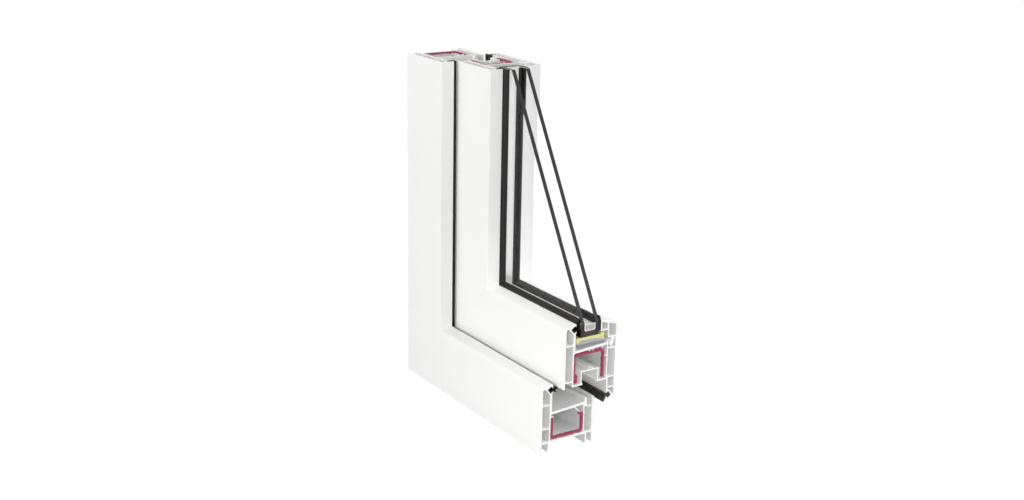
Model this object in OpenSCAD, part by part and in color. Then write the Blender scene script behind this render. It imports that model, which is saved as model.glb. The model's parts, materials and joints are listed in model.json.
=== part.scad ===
// Corner sample of a white plastic window: welded outer frame, sash, steel, gaskets, beads and glass.
// X runs along the sill from the outer corner, Y from the outdoor face inwards, Z up from the feet.
// Every profile is drawn once, flat, as depth by height, and run along both legs of the corner.

/* [Sample] */
// length of the frame's sill leg, outer corner to cut end
sill_len = 242; // [190:1:400]
// height of the frame's jamb leg, feet to cut end
jamb_len = 333; // [230:1:500]
// how far the sash rail's cut end stands past the sill's
rail_over = 8; // [0:0.5:20]
// glass shown beyond the sash's sight line at the top of the stile
pane_top_show = 9; // [2:0.5:40]
// glass shown beyond the sash's sight line at the end of the rail
pane_end_show = 1; // [0.5:0.5:40]

/* [Walls] */
// thickness of the walls that are seen from outside
skin = 2.2; // [1.6:0.1:3]
// thickness of the webs between the chambers
web = 1.2; // [0.8:0.1:1.8]

/* [Lip and gasket] */
// depth of the lip that carries a gasket
lip_d = 13; // [11:0.5:16]
// rise of the lip's top from its front edge to its back
lip_rise = 2.2; // [0.5:0.1:4]
// radius on the front edges of frame and sash
edge_r = 1.6; // [0.6:0.1:3]
// distance from a lip's front face to what its gasket seals against
seal_reach = 18; // [16:0.5:22]
// width of the gasket's seat
seat_w = 4.6; // [3.6:0.1:5.4]
// length of the gasket's seat
seat_l = 5.4; // [4.4:0.1:6]
// turn of the seat from level
seat_turn = 38; // [30:1:45]
// clearance round a gasket's foot
seal_gap = 0.15; // [0.05:0.05:0.4]
// height of the frame gasket's tip above the lip's front edge
frame_seal_rise = -0.6; // [-1:0.1:3]
// height of the overlap gasket's tip above its lip's edge
overlap_seal_rise = 4.9; // [3:0.1:6]
// height of the glazing gasket's tip above the lip's front edge
glazing_seal_rise = 7.2; // [3:0.1:8]

/* [Frame] */
// depth of the frame, outdoor face to indoor face
frame_d = 60; // [54:1:80]
// height of the frame's outdoor face
frame_face = 65; // [58:1:90]
// height of the feet below the frame's hollow part
foot_h = 10; // [6:0.5:14]
// height of the rebate's floor behind the lip
frame_floor = 40; // [36:0.5:46]
// rise of the rebate's floor towards the room
frame_fall = 2.2; // [0:0.1:4]
// height of the frame's indoor face
frame_inner = 46; // [44:0.5:54]
// depth of the pocket along the indoor edge
pocket_w = 10.5; // [8:0.5:14]
// height of the pocket's walls above its toothed floor
pocket_h = 9; // [6:0.5:12]
// height of the teeth in the pocket's floor
tooth_h = 2; // [0.8:0.1:2.6]

/* [Sash] */
// height of the sash's lowest outdoor edge above the feet
sash_z = 63.3; // [60:0.1:66]
// gap left between the frame's indoor face and the overlap's gasket
overlap_gap = 2.5; // [0.5:0.1:6]
// height of the sash's outdoor face
sash_face = 58.5; // [54:0.5:80]
// how far the indoor overlap hangs below the sash
overlap_h = 20; // [16:0.5:24]
// thickness of the overlap
overlap_t = 10.5; // [9:0.5:13]
// height of the glazing rebate's floor above the sash's lowest edge
glaz_floor = 34.8; // [32:0.2:42]
// rise of the glazing rebate's floor towards the room
glaz_fall = 2.2; // [0:0.1:3]
// width of the hardware groove's mouth
groove_w = 16; // [12:0.5:18]
// depth of the hardware groove
groove_d = 12.5; // [9:0.5:16]
// shift of the hardware groove towards the room from the middle of its steel
groove_shift = 0.4; // [0:0.1:0.8]
// height of the drip edge below the outdoor chambers
drip_h = 5.2; // [3:0.1:8]
// height of the web across the outdoor chambers
sash_cross = 40.2; // [36:0.2:46]

/* [Glazing] */
// thickness of a pane
pane_t = 4; // [3:0.5:6]
// height of the panes' edge above the sash's lowest edge
glass_seat = 46.5; // [44:0.5:50]
// depth of the edge sealant
sealant_h = 5.5; // [3:0.5:7]
// height of the spacer bar
spacer_h = 6.5; // [5:0.5:8]
// wall of the spacer bar
spacer_t = 0.6; // [0.4:0.1:1]
// how far the drying agent's face stands behind the spacer bar's cut end
spacer_fill = 0.8; // [0.2:0.1:3]
// gap between the inner pane and the bead, filled by its gasket
bead_gap = 2.5; // [1.5:0.1:4]
// width of the bead, glass side to indoor face
bead_w = 19.5; // [17:0.5:22]
// height of the bead's top edge above the sash's lowest edge
bead_top = 60; // [58:0.5:64]
// height of the bead's indoor face top
bead_low = 54.4; // [52:0.1:57]
// thickness of the bead's sloping top
bead_wall = 2.1; // [1.4:0.1:2.6]
// height of the bead seal's lip above the bead's edge
bead_seal_rise = 3.1; // [1:0.1:4]
// length of the setting block and its bridge
block_len = 100; // [40:1:120]
// thickness of the setting block's plate
block_t = 2.4; // [1.6:0.1:3]
// depth of the setting block's side skirts below the glass
block_skirt = 5; // [4:0.1:5.5]
// thickness of the bridge below the skirts
bridge_t = 1.2; // [0.8:0.1:2]
// length of one of the bridge's cross feet
bridge_foot = 4; // [2:0.5:8]

/* [Steel] */
// thickness of the reinforcing steel
steel_t = 2.5; // [1.2:0.1:2.8]
// thickness of the sash steel's outdoor leg above its fold
sash_leg_t = 1.2; // [0.8:0.1:2]
// clearance between the steel and the chamber's sides
steel_fit = 0.3; // [0.2:0.1:0.8]
// height of the frame steel's outdoor leg
frame_steel_h = 21.5; // [14:0.5:23]
// inward lip of the frame steel's indoor leg
steel_lip = 5; // [3:0.5:8]
// height of the sash steel
sash_steel_h = 28.5; // [22:0.5:29.5]
// gap from the sash steel to the chamber's indoor wall, bridged by a nib
steel_nib = 2.8; // [2:0.1:4]
// inner radius of the steel's bends
bend_r = 1; // [0.5:0.1:2]
// steel's square end to the inner corner of its welded chamber
steel_short = 6; // [3:0.5:20]

/* [Hidden] */
$fn = 48;
round_steps = 6;
far = 900;
sash_y = seal_reach;
rail_end = sill_len + rail_over;
sight = sash_z + sash_face;
lip_wall = lip_d - 0.6;
lip_cell_y = lip_wall - skin;
web_y = lip_cell_y + web;
frame_web = frame_d - pocket_w;
frame_box = foot_h + 2;
frame_rib = 1.2;
low_web = foot_h + (frame_floor - foot_h) * 0.47;
high_web = frame_floor + 7;
rail_web = frame_d + overlap_gap - lip_d;
sash_d = rail_web + overlap_t;
glaz_back = glaz_floor + glaz_fall;
sash_low = 0.5;
sash_bar = sash_low + 1.5;
steel_top = sash_steel_h + 3.5;
sash_steel_a = web_y + steel_fit * 2;
sash_steel_b = rail_web - web - steel_nib;
sash_fold = sash_steel_a + sash_leg_t + 2.4;
groove_in = groove_w + 1.8;
groove_a = (sash_fold + sash_steel_b - steel_t - groove_in) / 2 + groove_shift;
groove_b = groove_a + groove_in;
groove_y = groove_a - web;
groove_top = sash_low + groove_d;
pocket_floor = frame_inner - pocket_h;
snap_floor = glaz_back - 5.5;
bead_base = glaz_back + 4;
bead_edge = glass_seat + 2.4;
bead_y = sash_d - bead_w;
pane_gap = bead_y - bead_gap - 2 * pane_t - seal_reach;
glass_y = sash_y + seal_reach;
glass_low = sash_z + glass_seat;
block_a = lip_wall + 1.1;
block_b = bead_y + 4;
block_low = glass_seat - block_skirt;
bridge_low = block_low - bridge_t;
bridge_b = block_b + 3.4;
block_under = [[block_a + 1.4, block_low], [block_a + 4.5, glass_seat - block_t],
  [block_b - 11, glass_seat - block_t - 0.4], [block_b, block_low]];
seat_at = [lip_d - 2.4, -6.5];
seat_x = [cos(seat_turn), sin(seat_turn)];
seat_n = [-sin(seat_turn), cos(seat_turn)];

// unit vector from a to b
function way(a, b) = (b - a) / norm(b - a);
// height of a lip's sloping top at depth y, from its front edge
function lip_top(y) = lip_rise * y / lip_d;
// height of the frame's rebate floor at depth y
function floor_at(y) = frame_floor + frame_fall * (y - lip_wall) / (frame_web - lip_wall);
// height of the glazing rebate's floor at depth y
function glaz_at(y) = glaz_floor + glaz_fall * (y - lip_wall) / (rail_web - lip_wall);
// underside of the bead's sloping top at depth y
function bead_under(y) = bead_top - (bead_top - bead_low) * (y - bead_y) / (sash_d - bead_y) - bead_wall;
// outline of the chamber inside a lip, from the given height up
function lip_cell(low) = [[skin, low], [lip_cell_y, low],
  seat_at - web * seat_x + seat_n * (lip_cell_y - seat_at[0] + web * seat_x[0]) / seat_n[0],
  seat_at - web * seat_x + seat_l * seat_n, [skin + 2.3, lip_top(skin + 2.3) - skin],
  [skin, lip_top(skin) - skin]];

// points of a corner at p rounded to radius r, coming from a and going to b
function rounded(p, a, b, r) =
  let (u = way(p, a), v = way(p, b), half = acos(u * v) / 2,
    c = p + (u + v) / norm(u + v) * r / sin(half),
    first = p + u * r / tan(half) - c, last = p + v * r / tan(half) - c,
    from = atan2(first[1], first[0]), turn = atan2(last[1], last[0]) - from,
    short = turn > 180 ? turn - 360 : turn < -180 ? turn + 360 : turn)
  [for (i = [0:round_steps]) let (at = from + short * i / round_steps) c + r * [cos(at), sin(at)]];
// outline of a lip whose front edge is at height h: front edge, back edge and the step under the gasket
function lip_outline(h) = [each rounded([0, h], [0, 0], [lip_d, h + lip_rise], edge_r),
  each rounded([lip_d, h + lip_rise], [0, h], [lip_d, h - 5.6], 0.5), [lip_d, h - 5.6], [lip_wall, h - 7]];

// seat of a gasket's foot under a lip's top, drawn smaller by the clearance c
module lip_seat(c) {
  translate(seat_at) rotate(seat_turn) translate([c, c]) square([seat_w - 2 * c, seat_l - 2 * c]);
}

// point of the gasket's seat, along and across it
function seat_pt(x, n) = seat_at + x * seat_x + n * seat_n;

// gasket with two lips, the upper one rising to what it seals against
module lip_gasket(rise) {
  c = seal_gap;
  w = seat_w - c;
  reach = seal_reach;
  thick = 2.3 + 0.25 * rise;
  crown = rise > 2 ? [[lip_d + 2.2, 0.78 * rise], [lip_d + 0.3, 0.44 * rise]]
    : [[lip_d + 0.3, max(rise - 2.1, -2.3)]];
  polygon([seat_pt(c, seat_l - c), seat_pt(c, c), seat_pt(w - 0.9, c), [lip_d + 4, -6], [lip_d + 4.2, -5.2],
    seat_pt(w, c), [reach - 1.2, rise - thick], [reach, rise - 0.4 * thick], [reach, rise],
    each crown, seat_pt(w, c + 1.3), seat_pt(w, seat_l - c)]);
}

// frame profile, depth by height
module frame_section() {
  back = frame_web + 2.5;
  rim = frame_d - skin;
  tooth = (rim - back) / 4;
  difference() {
    polygon([each rounded([0, 0], [skin, 0], [0, frame_face], 1), each lip_outline(frame_face),
      [lip_wall, frame_floor], [frame_web, frame_floor + frame_fall],
      [frame_web, frame_inner], [back, frame_inner],
      for (i = [0:4]) [back + i * tooth, pocket_floor + (i % 2 == 0 ? tooth_h : 0)], [rim, frame_inner],
      each rounded([frame_d, frame_inner], [rim, frame_inner], [frame_d, 0], 0.8),
      [frame_d, 0], [frame_d - 1.6, 0], [frame_d - 1.6, foot_h],
      [back + 0.6, foot_h], [back + 0.6, 0], [back - 1, 0], [back - 1, foot_h],
      [lip_cell_y, foot_h], [lip_cell_y, 2], [lip_cell_y - 2.6, 2], [lip_cell_y - 2.6, 3.2],
      [lip_cell_y - 1.4, 4.4], [lip_cell_y - 1.4, foot_h], [skin, foot_h], [skin, 0]]);
    translate([0, frame_face]) lip_seat(0);
    translate([0, frame_face]) polygon(lip_cell(high_web + web - frame_face));
    polygon([[skin, low_web + web], [lip_cell_y, low_web + web], [lip_cell_y, high_web], [skin, high_web]]);
    polygon([[skin, frame_box], [lip_cell_y, frame_box], [lip_cell_y, low_web], [skin, low_web]]);
    frame_steel_cell();
    polygon([[frame_web, frame_box], [rim, frame_box], [rim, low_web], [rim - 0.8, low_web + 0.5],
      [rim, low_web + 1],
      for (i = [4:-1:0]) [back + i * tooth, pocket_floor + (i % 2 == 0 ? tooth_h : 0) - 1.4 * web],
      [frame_web, pocket_floor + tooth_h - 1.4 * web]]);
  }
}

// chamber of the frame's steel, less the small ribs that hold the steel in it
module frame_steel_cell() {
  right = frame_web - web;
  rib_a = web_y + 8;
  rib_b = right - 9;
  rest = frame_box + frame_rib;
  top = rest + frame_steel_h;
  fin = right - steel_fit - steel_lip;
  polygon([[web_y, frame_box], [rib_a, frame_box], [rib_a, rest], [rib_a + 1.2, rest],
    [rib_a + 1.2, frame_box], [rib_b, frame_box], [rib_b, rest], [rib_b + 1.2, rest],
    [rib_b + 1.2, frame_box], [right, frame_box], [right, floor_at(right) - skin],
    [fin - 4.4, floor_at(fin - 4.4) - skin], [fin + 1.8, top - 1.1], [fin + 0.8, top - 1.5],
    [fin - 5.8, floor_at(fin - 5.8) - skin], [web_y, floor_at(web_y) - skin],
    [web_y, top + 1], [web_y + 3, top + 1], [web_y + 3, top], [web_y, top]]);
}

// frame steel: a channel open upwards with one leg lipped inwards
module frame_steel_section() {
  a = web_y + steel_fit;
  b = frame_web - web - steel_fit;
  low = frame_box + frame_rib;
  high = low + frame_steel_h;
  turn = high - 1.5;
  t = steel_t;
  polygon([each rounded([a, low], [a, high], [b, low], bend_r + t),
    each rounded([b, low], [a, low], [b, turn], bend_r + t),
    each rounded([b, turn], [b, low], [a, turn], bend_r + t),
    [b - steel_lip, turn], [b - steel_lip, turn - t],
    each rounded([b - t, turn - t], [a, turn - t], [b - t, low], bend_r),
    each rounded([b - t, low + t], [b - t, turn], [a, low + t], bend_r),
    each rounded([a + t, low + t], [b, low + t], [a + t, high], bend_r),
    [a + t, high], [a, high]]);
}

// sash profile, depth by height from its lowest outdoor edge
module sash_section() {
  rim = sash_d - skin;
  foot = -overlap_h;
  hook = (groove_in - groove_w) / 2;
  difference() {
    polygon([each rounded([0, 0], [skin, 0], [0, sash_face], 0.6), each lip_outline(sash_face),
      [lip_wall, glaz_floor], [rail_web - web, glaz_at(rail_web - web)],
      [rail_web - web, glaz_back + 2], [rail_web + 0.8, glaz_back + 2], [rail_web + 0.8, glaz_back + 1],
      [rail_web, glaz_back + 0.3], [rail_web, snap_floor], [rim, snap_floor], [rim, bead_base],
      [sash_d, bead_base],
      each rounded([sash_d, foot], [sash_d, bead_base], [rail_web, foot], 2), [rail_web, foot],
      [rail_web, sash_low], [groove_b - hook, sash_low],
      [groove_b - hook, sash_bar], [groove_b, sash_bar + 0.9], [groove_b, groove_top],
      [groove_a, groove_top], [groove_a, sash_bar + 0.9], [groove_a + hook, sash_bar],
      [groove_a + hook, sash_low], [lip_cell_y, sash_low], [lip_cell_y, drip_h], [skin, drip_h], [skin, 0]]);
    translate([0, sash_face]) lip_seat(0);
    translate([0, sash_face]) polygon(lip_cell(sash_cross + web - sash_face));
    polygon([[skin, drip_h + web], [lip_cell_y, drip_h + web], [lip_cell_y, sash_cross], [skin, sash_cross]]);
    sash_steel_cell();
    polygon([[rail_web, 2.8], [rim, 2.8], [rim, snap_floor - 1.5], [rail_web, snap_floor - 1.5]]);
    polygon([[rail_web + web, -7.5], [rim, -7.5], [rim, 1.6], [rail_web + web, 1.6]]);
    overlap_place() lip_seat(0);
    overlap_place() overlap_cell();
  }
}

// chamber of the sash's steel round the hardware groove, less the ribs that hold the steel in it
module sash_steel_cell() {
  right = sash_steel_b;
  wide = sash_steel_b - sash_steel_a;
  wall = rail_web - web;
  box = groove_top + web;
  port_a = groove_a + groove_in * 0.42;
  port_b = groove_a + groove_in * 0.62;
  nib = steel_top - 8.5;
  hang = [right - 0.09 * wide, right - 0.4 * wide, right - 0.52 * wide];
  polygon([[web_y, sash_bar], [groove_y, sash_bar], [groove_y, box], [port_a, box], [port_a, box + 2.5],
    [port_a + 1, box + 2.5], [port_a + 1, box], [port_b, box], [port_b, box + 2.5], [port_b + 1, box + 2.5],
    [port_b + 1, box], [groove_b + web, box], [groove_b + web, sash_bar], [wall, sash_bar], [wall, nib],
    [right, nib], [right, nib + 1], [wall, nib + 1], [wall, glaz_at(wall) - skin],
    for (y = hang) each [[y + 1, glaz_at(y + 1) - skin], [y + 1, steel_top], [y, steel_top],
      [y, glaz_at(y) - skin]],
    [web_y, glaz_at(web_y) - skin]]);
}

// turns a lip's gasket seat over and sets it in the overlap
module overlap_place() {
  translate([rail_web + lip_d, 1.6 - overlap_h]) rotate(180) children();
}

// chamber between the overlap's gasket seat and its indoor wall, as the turned lip has it
module overlap_cell() {
  wall = lip_d + skin - overlap_t;
  top = 10.3 - overlap_h;
  polygon([[wall, top], [lip_d - web, top], [lip_d - web, -8.6], seat_pt(-web, -0.9),
    seat_pt(-web, seat_l - 1.6), [wall, -2.4]]);
}

// sash steel: a channel open downwards, straddling the hardware groove, one leg folded double
module sash_steel_section() {
  a = sash_steel_a;
  b = sash_steel_b;
  low = steel_top - sash_steel_h;
  top = steel_top;
  t = steel_t;
  leg = a + sash_leg_t;
  fold = sash_fold;
  polygon([each rounded([a, low], [fold, low], [a, top], 1),
    each rounded([a, top], [a, low], [b, top], bend_r + t),
    each rounded([b, top], [a, top], [b, low], bend_r + t), [b, low + 0.6], [b - t, low + 0.6],
    each rounded([b - t, top - t], [b - t, low], [a, top - t], bend_r),
    each rounded([leg, top - t], [b, top - t], [leg, low], bend_r), [leg, low + 9.5], [fold, low + 7.5],
    each rounded([fold, low], [fold, top], [a, low], 1)]);
}

// glazing bead with a slanted hook leg, depth by height from the sash's lowest edge
module bead_section() {
  mid = rail_web - 0.5;
  low = bead_edge;
  difference() {
    polygon([[bead_y, low], each rounded([bead_y, bead_top], [bead_y, low], [sash_d, bead_low], 0.8),
      each rounded([sash_d, bead_low], [bead_y, bead_top], [sash_d, bead_base], 2),
      [sash_d, bead_base], [rail_web + 7.2, bead_base], [rail_web + 5, snap_floor + 1.4],
      [rail_web + 2.6, snap_floor + 0.8], [rail_web + 0.7, glaz_back - 0.6],
      [rail_web + 1.6, glaz_back - 0.9], [rail_web + 3.8, bead_base], [mid, bead_base], [mid, low]]);
    polygon([[bead_y + 1.4, low + 1.3], [mid - 0.4, low + 1.3], [mid - 0.4, bead_under(mid - 0.4)],
      [bead_y + 1.4, bead_under(bead_y + 1.4)]]);
    polygon([[mid + 1, bead_base + 1.5], [sash_d - 1.8, bead_base + 1.5],
      [sash_d - 1.8, bead_under(sash_d - 1.8)], [mid + 1, bead_under(mid + 1)]]);
  }
}

// soft seal down the bead's glass side: a lower pad, a groove and a lip that stands above the bead's edge
module bead_seal_section() {
  g = bead_gap;
  tip = bead_top + bead_seal_rise;
  low = bead_edge + 0.4 * g;
  groove = bead_top - 1.2 * g;
  polygon([[bead_y - g, low], [bead_y - g, groove - 0.2 * g], [bead_y - 0.45 * g, groove + 0.2 * g],
    [bead_y - g, groove + 0.7 * g], [bead_y - g, tip - 0.2 * g], [bead_y - 0.8 * g, tip],
    [bead_y - 0.6 * g, tip], [bead_y - 0.2 * g, bead_top + 0.2 * g], [bead_y, bead_top - 0.4 * g],
    [bead_y, low]]);
}

// spacer bar between the panes, drawn smaller by the wall t
module spacer_section(t) {
  a = seal_reach + pane_t + t;
  b = seal_reach + pane_t + pane_gap - t;
  low = glass_seat + sealant_h + t;
  high = glass_seat + sealant_h + spacer_h - t;
  polygon([[a, low + 1], [a, high], [b, high], [b, low + 1], [b - 1, low], [a + 1, low]]);
}

// sealant closing the unit's edge, up round the spacer's lower corners
module sealant_section() {
  a = seal_reach + pane_t;
  b = a + pane_gap;
  top = glass_seat + sealant_h;
  polygon([[a, glass_seat], [a, top + 1], [a + 1, top], [b - 1, top], [b, top + 1], [b, glass_seat]]);
}

// setting block under the glass, skirted at both sides, with an upstanding tab at the room side
module block_section() {
  difference() {
    polygon([[block_a, block_low], [block_a, glass_seat], [block_b - 4, glass_seat],
      [block_b - 4, glass_seat + 1.2], [block_b, glass_seat + 1.2],
      for (i = [3:-1:0]) block_under[i]]);
    translate([block_b - 3.4, glass_seat - 2.9]) circle(0.6);
  }
}

// plate of the bridge, fitting up into the setting block
module bridge_plate() {
  polygon([each block_under, [bridge_b, bridge_low + 0.4], [bridge_b, bridge_low - 0.6],
    [block_a + 0.2, bridge_low], [block_a + 0.2, block_low - 0.2]]);
}

// cross foot that carries the bridge on the rebate's sloping floor
module bridge_foot_section() {
  polygon([[block_a + 0.2, glaz_at(block_a + 0.2)], [bridge_b, glaz_at(bridge_b)],
    [bridge_b, bridge_low], [block_a + 0.2, bridge_low + 0.5]]);
}

// sets the sample over the middle of its own footprint
module stand() {
  translate([-rail_end / 2, -(sash_y + sash_d) / 2, 0]) children();
}

// runs a flat section along the sill, mitred at the corner
module along_sill(len) {
  stand() intersection() {
    rotate([90, 0, 90]) linear_extrude(len) children();
    translate([0, far, 0]) rotate([90, 0, 0]) linear_extrude(2 * far) polygon([[0, 0], [far, 0], [far, far]]);
  }
}

// runs a flat section up the jamb, mitred at the corner
module along_jamb(len) {
  stand() intersection() {
    mirror([1, -1, 0]) linear_extrude(len) children();
    translate([0, far, 0]) rotate([90, 0, 0]) linear_extrude(2 * far) polygon([[0, 0], [far, far], [0, far]]);
  }
}

// square-ended length along the sill
module bar_sill(a, b) {
  stand() translate([a, 0, 0]) rotate([90, 0, 90]) linear_extrude(b - a) children();
}

// square-ended length up the jamb
module bar_jamb(a, b) {
  stand() translate([0, 0, a]) mirror([1, -1, 0]) linear_extrude(b - a) children();
}

// sets a sash section where the sash stands in the frame
module sash_place() {
  translate([sash_y, sash_z]) children();
}

// pane cut on the slant from the top of the stile to the end of the rail
module pane(y) {
  stand() translate([0, y + pane_t, 0]) rotate([90, 0, 0]) linear_extrude(pane_t)
    polygon([[glass_low, glass_low], [rail_end, glass_low], [rail_end, sight + pane_end_show],
      [sight + pane_top_show, jamb_len], [glass_low, jamb_len]]);
}

module frame_jamb() color("#f2f3f1") along_jamb(jamb_len) frame_section();
module frame_sill() color("#f4f5f3") along_sill(sill_len) frame_section();
module frame_steel_jamb() color("#9aa0a4")
  bar_jamb(frame_floor + steel_short, jamb_len) frame_steel_section();
module frame_steel_sill() color("#9aa0a4")
  bar_sill(frame_floor + steel_short, sill_len) frame_steel_section();
module frame_seal_jamb() color("#26282a")
  along_jamb(jamb_len) translate([0, frame_face]) lip_gasket(frame_seal_rise);
module frame_seal_sill() color("#26282a")
  along_sill(sill_len) translate([0, frame_face]) lip_gasket(frame_seal_rise);
module sash_stile() color("#f2f3f1") along_jamb(jamb_len) sash_place() sash_section();
module sash_rail() color("#f4f5f3") along_sill(rail_end) sash_place() sash_section();
module sash_steel_stile() color("#9aa0a4")
  bar_jamb(sash_z + steel_top + steel_short, jamb_len) sash_place() sash_steel_section();
module sash_steel_rail() color("#9aa0a4")
  bar_sill(sash_z + steel_top + steel_short, rail_end) sash_place() sash_steel_section();
module overlap_seal_stile() color("#26282a")
  along_jamb(jamb_len) sash_place() overlap_place() lip_gasket(overlap_seal_rise);
module overlap_seal_rail() color("#26282a")
  along_sill(rail_end) sash_place() overlap_place() lip_gasket(overlap_seal_rise);
module glazing_seal_stile() color("#26282a")
  along_jamb(jamb_len) sash_place() translate([0, sash_face]) lip_gasket(glazing_seal_rise);
module glazing_seal_rail() color("#26282a")
  along_sill(rail_end) sash_place() translate([0, sash_face]) lip_gasket(glazing_seal_rise);
module outer_pane() color("#cfe0da") pane(glass_y);
module inner_pane() color("#cfe0da") pane(glass_y + pane_t + pane_gap);
module spacer_stile() color("#c9ccce") difference() {
  along_jamb(jamb_len) sash_place() spacer_section(0);
  bar_jamb(jamb_len - spacer_fill, jamb_len + 1) sash_place() spacer_section(spacer_t);
}
module spacer_rail() color("#c9ccce") difference() {
  along_sill(rail_end) sash_place() spacer_section(0);
  bar_sill(rail_end - spacer_fill, rail_end + 1) sash_place() spacer_section(spacer_t);
}
module sealant_stile() color("#2e2624") along_jamb(jamb_len) sash_place() sealant_section();
module sealant_rail() color("#2e2624") along_sill(rail_end) sash_place() sealant_section();
module bead_stile() color("#f2f3f1") along_jamb(jamb_len) sash_place() bead_section();
module bead_rail() color("#f4f5f3") along_sill(rail_end) sash_place() bead_section();
module bead_seal_stile() color("#26282a") along_jamb(jamb_len) sash_place() bead_seal_section();
module bead_seal_rail() color("#26282a") along_sill(rail_end) sash_place() bead_seal_section();
module setting_block() color("#dcdc96") bar_sill(rail_end - block_len, rail_end) sash_place() block_section();
module block_bridge() color("#b0b0b4") {
  bar_sill(rail_end - block_len, rail_end) sash_place() bridge_plate();
  for (share = [0.04, 0.34, 0.64])
    bar_sill(rail_end - block_len * (1 - share), rail_end - block_len * (1 - share) + bridge_foot)
      sash_place() bridge_foot_section();
}

frame_jamb();
frame_sill();
frame_steel_jamb();
frame_steel_sill();
frame_seal_jamb();
frame_seal_sill();
sash_stile();
sash_rail();
sash_steel_stile();
sash_steel_rail();
overlap_seal_stile();
overlap_seal_rail();
glazing_seal_stile();
glazing_seal_rail();
outer_pane();
inner_pane();
spacer_stile();
spacer_rail();
sealant_stile();
sealant_rail();
bead_stile();
bead_rail();
bead_seal_stile();
bead_seal_rail();
setting_block();
block_bridge();
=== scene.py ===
# %% [markdown]
# # A window corner sample, dressed for its picture
# The sample is a welded corner of a white plastic window: outer frame, sash, steel cores, gaskets and
# glass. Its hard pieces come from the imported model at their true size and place. This lesson gives them
# their finish and models the soft pieces and the glass, which need rounder forms than a construction model
# holds.

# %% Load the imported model
import json
import math

import bpy
from mathutils import Matrix, Vector


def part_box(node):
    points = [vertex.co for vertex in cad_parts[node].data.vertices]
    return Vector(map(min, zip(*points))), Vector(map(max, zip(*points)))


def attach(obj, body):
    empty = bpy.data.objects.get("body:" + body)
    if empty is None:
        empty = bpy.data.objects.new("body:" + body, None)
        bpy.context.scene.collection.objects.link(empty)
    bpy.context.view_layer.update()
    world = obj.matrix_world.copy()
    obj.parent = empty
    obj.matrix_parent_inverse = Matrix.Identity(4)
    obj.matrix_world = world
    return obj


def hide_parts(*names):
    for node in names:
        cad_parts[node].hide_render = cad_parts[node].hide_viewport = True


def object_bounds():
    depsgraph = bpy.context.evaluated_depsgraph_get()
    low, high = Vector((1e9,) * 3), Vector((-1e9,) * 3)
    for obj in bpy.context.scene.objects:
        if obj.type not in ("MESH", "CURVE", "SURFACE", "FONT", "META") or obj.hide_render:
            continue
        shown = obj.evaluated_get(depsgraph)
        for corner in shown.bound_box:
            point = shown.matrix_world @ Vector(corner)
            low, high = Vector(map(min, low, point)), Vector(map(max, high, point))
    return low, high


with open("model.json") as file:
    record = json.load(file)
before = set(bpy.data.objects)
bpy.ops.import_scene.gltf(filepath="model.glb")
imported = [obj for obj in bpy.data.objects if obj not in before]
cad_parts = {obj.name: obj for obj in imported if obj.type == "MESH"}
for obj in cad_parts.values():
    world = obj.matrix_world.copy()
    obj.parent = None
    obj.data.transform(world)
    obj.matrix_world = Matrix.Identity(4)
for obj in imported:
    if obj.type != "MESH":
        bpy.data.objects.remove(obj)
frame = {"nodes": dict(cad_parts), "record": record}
cad_low, cad_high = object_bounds()
nodes = frame["nodes"]
mm = 0.001
print("construction box in mm:", [round(v / mm, 1) for v in (*cad_low, *cad_high)])

# %% [markdown]
# ## Camera
# The picture looks at the outdoor face from the right and a little above. The viewing angles, the distance
# and the lens were found by lining up the sample's corners with the photograph, so they are set as numbers.
# An aimed camera would be simpler, but it could not hold the small roll that the photograph has.

# %% Place the camera
CAMERA_PLACE = Vector((1.0448, -0.7011, 0.5501))
AZIMUTH, ELEVATION, ROLL = math.radians(55.94), math.radians(17.29), math.radians(1.20)
SENSOR_WIDTH, LENS = 36, 48.35
back = Vector((math.sin(AZIMUTH) * math.cos(ELEVATION), -math.cos(AZIMUTH) * math.cos(ELEVATION),
               math.sin(ELEVATION)))
level = Vector((math.cos(AZIMUTH), math.sin(AZIMUTH), 0))
upright = back.cross(level)
right = level * math.cos(ROLL) + upright * math.sin(ROLL)
up = upright * math.cos(ROLL) - level * math.sin(ROLL)

camera = bpy.data.objects.new("camera", bpy.data.cameras.new("camera"))
bpy.context.scene.collection.objects.link(camera)
camera.matrix_world = Matrix.Translation(CAMERA_PLACE) @ Matrix((right, up, back)).transposed().to_4x4()
camera.data.sensor_width = SENSOR_WIDTH
camera.data.lens = LENS
bpy.context.scene.camera = camera
print("camera at", [round(v, 3) for v in CAMERA_PLACE])

# %% [markdown]
# ## One helper for every material
# Colours are written as they look on a screen and turned to the linear values that the renderer works in.
# Nodes are added by one function: its settings are properties or socket values, and a socket given as a
# value becomes a link. A Mix node keeps the sockets of every kind of data side by side under the same few
# names, so they go by number here, and each number has a name.

# %% Colour and node helpers
FACTOR, FLOAT_A, FLOAT_B, COLOUR_A, COLOUR_B = 0, 2, 3, 6, 7
MIXED_FLOAT, MIXED_COLOUR = 0, 2
WHITE = (1, 1, 1, 1)


def linear(code):
    """Linear red, green, blue and alpha of an sRGB colour written as six hex digits."""
    shades = [int(code[i:i + 2], 16) / 255 for i in (0, 2, 4)]
    return (*[s / 12.92 if s <= 0.04045 else ((s + 0.055) / 1.055) ** 2.4 for s in shades], 1)


def put(tree, kind, inputs=None, **settings):
    """Adds a node with its settings, and sets or links its input sockets."""
    made = tree.nodes.new(kind)
    for name, value in settings.items():
        setattr(made, name, value)
    for socket, value in (inputs or {}).items():
        if isinstance(value, bpy.types.NodeSocket):
            tree.links.new(value, made.inputs[socket])
        else:
            made.inputs[socket].default_value = value
    return made


def new_material(name):
    """A material and its empty node tree."""
    made = bpy.data.materials.new(name)
    made.use_nodes = True
    made.node_tree.nodes.clear()
    return made, made.node_tree


print("helpers ready: linear, put, new_material")

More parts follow.
